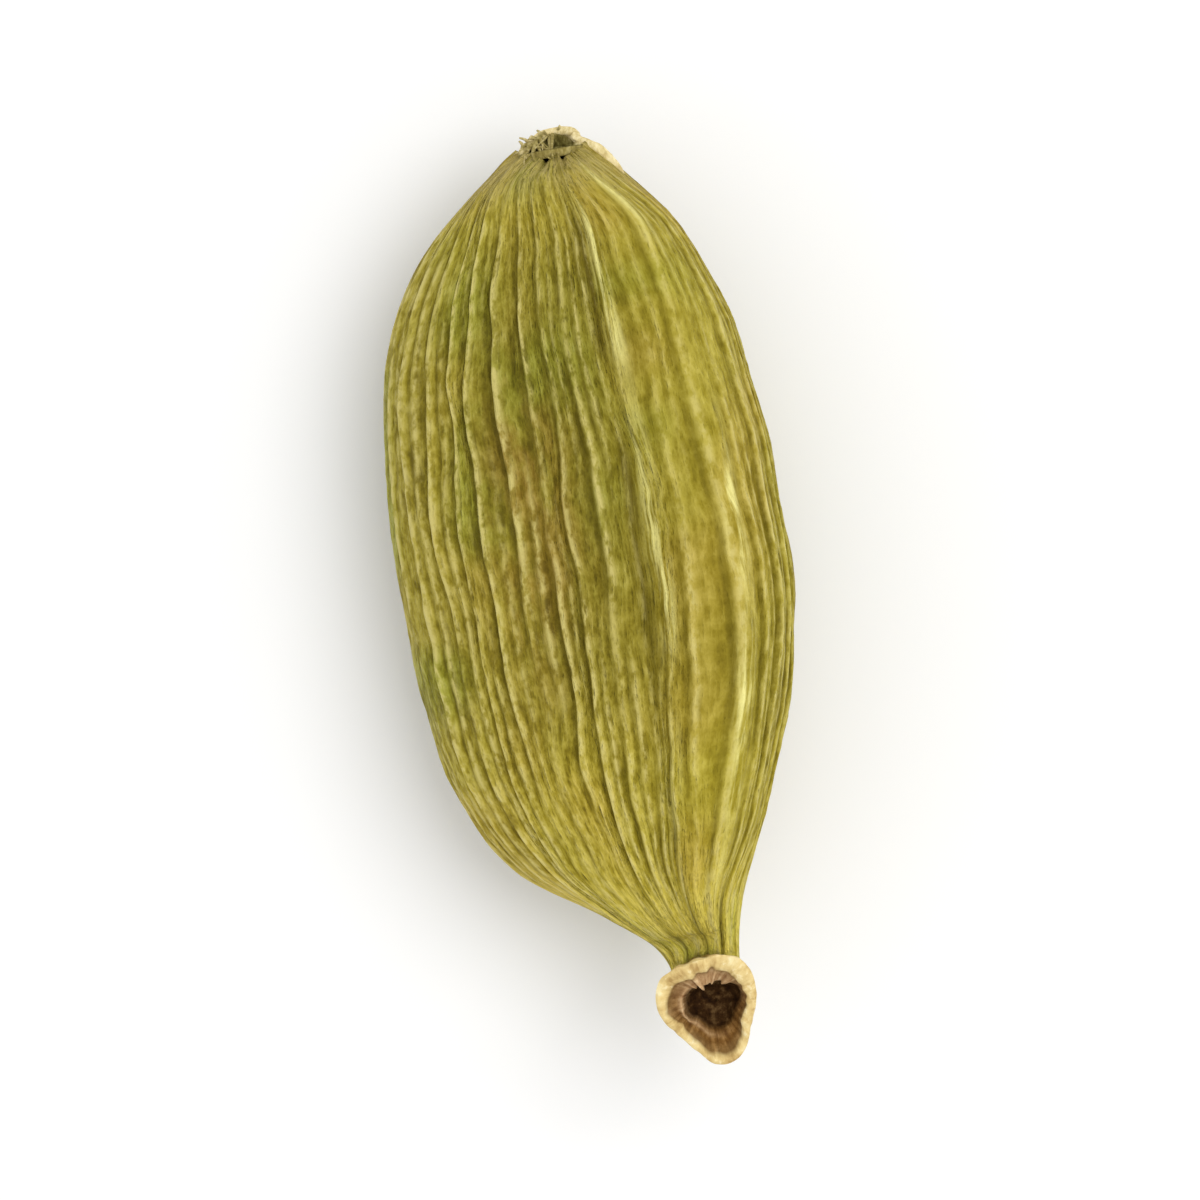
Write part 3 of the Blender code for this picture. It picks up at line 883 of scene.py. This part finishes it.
def collar_shape(turn, at):
    """Collar about its own axis: drawn out to a lip, ragged, and toothed inside on the neck's side."""
    part, flat = turn / FULL_TURN, np.zeros_like(turn)
    rise = np.clip(at["height"] / COLLAR_LENGTH, 0.0, 1.0)
    neck_side = near(turn, *NECK_SIDE)
    lip = bell(turn - 0.20, 0.55)
    stretch = TRIANGLE_SHARE * np.cos(3 * turn - 0.4) + LIP_REACH * lip
    fringe = 0.030 * noise(part, flat, 13, 1, 41) + 0.016 * noise(part, flat, 37, 1, 43)
    outer = COLLAR_RIM_RADIUS * (1.0 + stretch) + fringe
    width = round_values(turn, RIM_WIDTHS)
    width *= 1.0 + 0.22 * noise(part, flat, 17, 1, 51) + 0.14 * noise(part, flat, 43, 1, 52)
    notch = ramp(noise(part, flat, 34, 1, 49), -0.15, 0.35)
    edge = outer * round_values(turn, PIT_REACH) + 0.055 * noise(part, flat, 11, 1, 57)
    edge -= (0.09 * notch - 0.04) * neck_side
    ribs = 0.012 * np.cos(COLLAR_RIBS * turn + 2 * noise(part, rise, 7, 2, 47)) * at["outside"]
    r = COLLAR_BASE_RADIUS * at["base"] + outer * at["outer"] + width * at["width"]
    r += edge * at["pit_edge"] + ribs

    inward = np.clip(1.0 - at["base"] - at["outer"] - at["pit_edge"], 0.0, 1.0)
    x = r * np.cos(turn) * (1.0 + RIM_LENGTHEN * rise) + inward * PIT_CENTRE[0]
    y = r * np.sin(turn) + inward * PIT_CENTRE[1]
    wall = at["pit_edge"] * at["outer"] * 4.0
    hollow = ramp(at["pit_edge"], 0.0, 0.35) * (1.0 - ramp(at["pit"], 0.35, 1.0))
    ledge = bell(at["pit_edge"] - 0.80, 0.12) * near(turn, *LEDGE_SIDE) * hollow
    frill = 1.0 + rise ** 2 * (0.06 * np.cos(5 * turn + 1.0) + 0.05 * lip)
    crumple = 0.030 * noise(part, rise, 19, 3, 53) + 0.014 * noise(part, flat, 61, 1, 54)
    z = at["height"] * frill + rise ** 3 * crumple
    z += 0.075 * ledge + 0.05 * notch * neck_side * hollow - 0.05 * wall * (1.0 - notch) * neck_side
    return np.stack((x, y, z), axis=-1), {
        "rim": at["rim"],
        "pit": at["pit"],
        "outside": at["outside"],
        "teeth": np.clip((0.62 + 0.38 * notch) * neck_side * hollow + 0.75 * ledge, 0.0, 1.0),
        "spoke": np.stack((np.cos(turn), np.sin(turn), 0.18 * r), axis=-1),
    }


def collar_place(local):
    """Sets the collar's points on the bent end of the neck."""
    x, y, z, lean = axis_point(HUSK_END + BUTT_GAP)
    forward = local[:, 2] * math.cos(lean) + local[:, 0] * math.sin(lean)
    upward = local[:, 2] * math.sin(lean) - local[:, 0] * math.cos(lean)
    return np.stack((x + forward, y + local[:, 1], z + upward), axis=-1)


def collar_piece():
    """Fine collar: torn cream rim of uneven width, brown hollow and small dark pit, its dark tissue deepened
    with painted shade, drawn out to a lip.
    """
    return turned_piece("flower_collar_rim", collar_profile(), COLLAR_STEPS, collar_shape, collar_place,
                        collar_material())


def tube(path, widths, sides, fluting=0.0):
    """Points and faces of a closed tapering tube along a path, fluted lengthwise if asked."""
    ahead = np.gradient(path, axis=0)
    ahead /= np.linalg.norm(ahead, axis=1)[:, None]
    across = np.cross(ahead, (0.0, 0.0, 1.0))
    across /= np.linalg.norm(across, axis=1)[:, None]
    over = np.cross(across, ahead)
    turns = np.arange(sides) / sides * FULL_TURN
    twist = np.linspace(0.0, 2.5, len(path))[:, None]
    reach = widths[:, None] * (1.0 + fluting * (np.cos(4 * turns + twist) + 0.5 * np.cos(7 * turns - twist)))
    cosine, sine = np.cos(turns)[None, :, None], np.sin(turns)[None, :, None]
    rings = path[:, None, :] + reach[:, :, None] * (across[:, None, :] * cosine + over[:, None, :] * sine)
    faces = grid_faces(len(path), sides)
    faces.append(tuple(range(sides))[::-1])
    faces.append(tuple((len(path) - 1) * sides + side for side in range(sides)))
    return rings.reshape(-1, 3), faces


def skin_point(along, degrees, lift):
    """Point at a height over the husk, in the pod's own frame."""
    turn = np.array([math.radians(degrees)])
    return husk_points(turn, np.array([along]), np.zeros(1), 0.0, np.array([lift]))[0]


def stub_rim(turn, radius, lift):
    """Point on the stub's slanting rim, in the pod's own frame; the turn starts at the top."""
    _, y, z, _ = axis_point(HUSK_START)
    slant = 1.0 - TORN_SLANT * (1.0 + math.cos(turn))
    return np.array((STUB_BASE - STUB_LENGTH * slant * TORN_BELOW_RIM - lift,
                     y + radius * math.sin(turn), z + radius * math.cos(turn)))


def rolled_strip(chance):
    """Pale strip from the far rim of the stub along the husk's shoulder: points, faces and paleness."""
    path = [stub_rim(math.radians(degrees), STRIP_RIM_RADIUS, lift) for degrees, lift, _ in STRIP_ON_RIM]
    path += [skin_point(along, degrees, lift) for along, degrees, lift, _ in STRIP_ON_SKIN]
    path, widths = np.array(path), np.array([row[-1] for row in STRIP_ON_RIM + STRIP_ON_SKIN])
    even, fine = np.linspace(0.0, 1.0, len(path)), np.linspace(0.0, 1.0, STRIP_RINGS)
    path = np.stack([curve_through(even, path[:, axis], fine) for axis in range(3)], axis=1)
    uneven = 1.0 + 0.07 * np.sin(19 * fine) + chance.uniform(-0.05, 0.05, STRIP_RINGS)
    return (*tube(path, curve_through(even, widths, fine) * uneven, 22, 0.10), 1.0)


def frayed_fibre(chance):
    """Short fibre sticking out of the rim: points, faces and paleness."""
    turn = math.radians(chance.uniform(184.0, 278.0))
    root = stub_rim(turn, chance.uniform(0.36, 0.54), ROOT_LIFT)
    reach = chance.uniform(0.07, 0.20)
    way = np.array((chance.uniform(-0.5, 0.6), chance.uniform(-0.4, 0.9), chance.uniform(-0.1, 1.0)))
    way *= reach / np.linalg.norm(way)
    curve = np.array((chance.uniform(0.0, 0.16), chance.uniform(-0.16, 0.16), chance.uniform(-0.22, 0.0)))
    strand = np.array([root + way * t + curve * t * t for t in np.linspace(0.0, 1.0, 7)])
    thick = chance.uniform(0.024, 0.044)
    return (*tube(strand, np.linspace(thick, thick * 0.45, 7), 6), chance.uniform(0.0, 0.65))


def bridge_fibre(chance):
    """Longer fibre from the rim towards the edge of the husk: points, faces and paleness."""
    turn = math.radians(chance.uniform(158.0, 262.0))
    root = stub_rim(turn, chance.uniform(0.30, 0.50), ROOT_LIFT)
    landing = skin_point(0.66, 95.0, -0.06)
    landing[1] = axis_point(HUSK_START)[1] + chance.uniform(-0.55, 0.22)
    bow = np.array((0.0, chance.uniform(-0.22, 0.22), chance.uniform(0.02, 0.14)))
    way = np.linspace(0.0, chance.uniform(0.35, 1.0), 9)
    strand = np.array([root + (landing - root) * t + bow * math.sin(2.2 * t) for t in way])
    thick = chance.uniform(0.020, 0.050)
    return (*tube(strand, np.linspace(thick, thick * 0.4, 9), 7), chance.uniform(0.0, 0.35))


def stub_fibres():
    """Points, faces and marks of the rolled strip and the fibres beside it."""
    chance = np.random.default_rng(FIBRE_SEED)
    strands = [rolled_strip(chance)]
    strands += [frayed_fibre(chance) for _ in range(FIBRE_COUNT)]
    strands += [bridge_fibre(chance) for _ in range(BRIDGE_COUNT)]
    joined, start_at = [], 0
    for points, faces, _ in strands:
        joined += [tuple(i + start_at for i in face) for face in faces]
        start_at += len(points)
    cloud = np.concatenate([points for points, _, _ in strands])
    pale = np.concatenate([np.full(len(points), light) for points, _, light in strands])
    return cloud, joined, {"pale": pale, "pit": np.zeros_like(pale)}


def stub_profile():
    """Stub's profile: up its outside, over the torn edge and down into the pit.

    A row has its radius and height, and then how much of it is pit and how pale it is.
    """
    wall, top = STUB_RADIUS, STUB_LENGTH
    return profile_of(("radius", "height", "pit", "pale"), (
        (wall * 1.02, -STUB_TUCK_IN - BUTT_GAP, 0.0, 0.0),
        (wall * 1.06, -0.04, 0.0, 0.0),
        (wall * 1.00, top * 0.50, 0.0, 0.1),
        (wall * 0.92, top * 0.90, 0.0, 0.5),
        (wall * 0.82, top, 0.0, 0.8),
        (wall * 0.72, top * 0.92, 0.2, 0.4),
        (wall * 0.64, top * 0.60, 0.8, 0.0),
        (wall * 0.50, top * 0.10, 1.0, 0.0),
        (wall * 0.02, -0.04, 0.9, 0.0),
    ), 4)


def stub_shape(turn, at):
    """Stub about its own axis: toothed, torn, a little oval and slanting down to its upper side."""
    rise = np.clip(at["height"] / STUB_LENGTH, 0.0, 1.0)
    part = turn / FULL_TURN
    teeth = 0.80 + 0.20 * np.cos(STUB_TEETH * turn) * np.cos(2 * turn + 0.7)
    squash = 1.0 - 0.12 * rise * np.cos(2 * turn)
    torn = 0.06 * noise(part, rise, 26, 2, 61) + 0.04 * noise(part, rise, 55, 3, 67)
    slant = TORN_SLANT * (1.0 + np.cos(turn)) * STUB_LENGTH * rise ** 0.5
    r = at["radius"] * squash + 0.02 * noise(part, rise, 40, 3, 71)
    z = at["height"] * (1.0 + (teeth - 1.0) * rise) - slant + torn * rise
    z = np.maximum(z, -STUB_TUCK_IN - BUTT_GAP)
    return np.stack((r * np.cos(turn), r * np.sin(turn), z), axis=-1), {"pit": at["pit"], "pale": at["pale"]}


def stub_place(local):
    """Lays the stub's points along the pod, behind the husk's blunt end."""
    _, y, z, _ = axis_point(HUSK_START)
    return np.stack((STUB_BASE - local[:, 2], y + local[:, 1], z + local[:, 0]), axis=-1)


def stub_piece():
    """Torn crown of the stalk: a ragged pale edge, lower at its upper side, round an olive pit."""
    return turned_piece("stalk_stub_torn", stub_profile(), STUB_STEPS, stub_shape, stub_place,
                        stub_material(), stub_fibres())


def add_floor():
    """Wide plain table top that the pod lies on."""
    bpy.ops.mesh.primitive_plane_add(size=TABLE_SIZE, location=(0.0, 0.0, 0.0))
    floor = bpy.context.object
    floor.name = "table_top"
    floor.data.materials.append(floor_material())
    floor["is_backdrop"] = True


def add_lights():
    """White surroundings and one broad soft light overhead, a little to the narrow side."""
    world = bpy.data.worlds.new("studio")
    bpy.context.scene.world = world
    world.use_nodes = True
    background = world.node_tree.nodes["Background"]
    background.inputs["Color"].default_value = (1.0, 1.0, 1.0, 1.0)
    background.inputs["Strength"].default_value = WORLD_STRENGTH
    lamp = bpy.data.lights.new("soft_overhead", "AREA")
    lamp.shape = "DISK"
    lamp.size = LAMP_SIZE
    lamp.energy = LAMP_POWER
    light = bpy.data.objects.new("soft_overhead", lamp)
    light.location = LAMP_PLACE
    light.rotation_euler = (-Vector(LAMP_PLACE)).to_track_quat("-Z", "Y").to_euler()
    bpy.context.scene.collection.objects.link(light)


def add_camera():
    """Camera straight above the pod, turned so that the collar points as in the photograph."""
    low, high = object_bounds()
    middle = (low + high) / 2
    distance = FRAME_HEIGHT * MM * CAMERA_LENS / SENSOR
    data = bpy.data.cameras.new("above")
    data.lens = CAMERA_LENS
    data.sensor_width = SENSOR
    data.clip_start, data.clip_end = (distance * share for share in CLIP_SHARES)
    camera = bpy.data.objects.new("above", data)
    camera.location = (middle.x, middle.y, high.z + distance)
    camera.rotation_euler = (0.0, 0.0, math.radians(COLLAR_DIRECTION))
    bpy.context.scene.collection.objects.link(camera)
    bpy.context.scene.camera = camera


def dress_pod():
    """Puts the three fine pieces in place of the solids."""
    for piece, node, slot in ((husk_piece(), "husk", "husk_skin"),
                              (collar_piece(), "flower_collar", "collar_tissue"),
                              (stub_piece(), "stalk_stub", "stub_fibre")):
        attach(piece, "root")
        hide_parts(node)


dress_pod()
add_floor()
add_lights()
add_camera()
bpy.context.scene.view_settings.view_transform = "Standard"
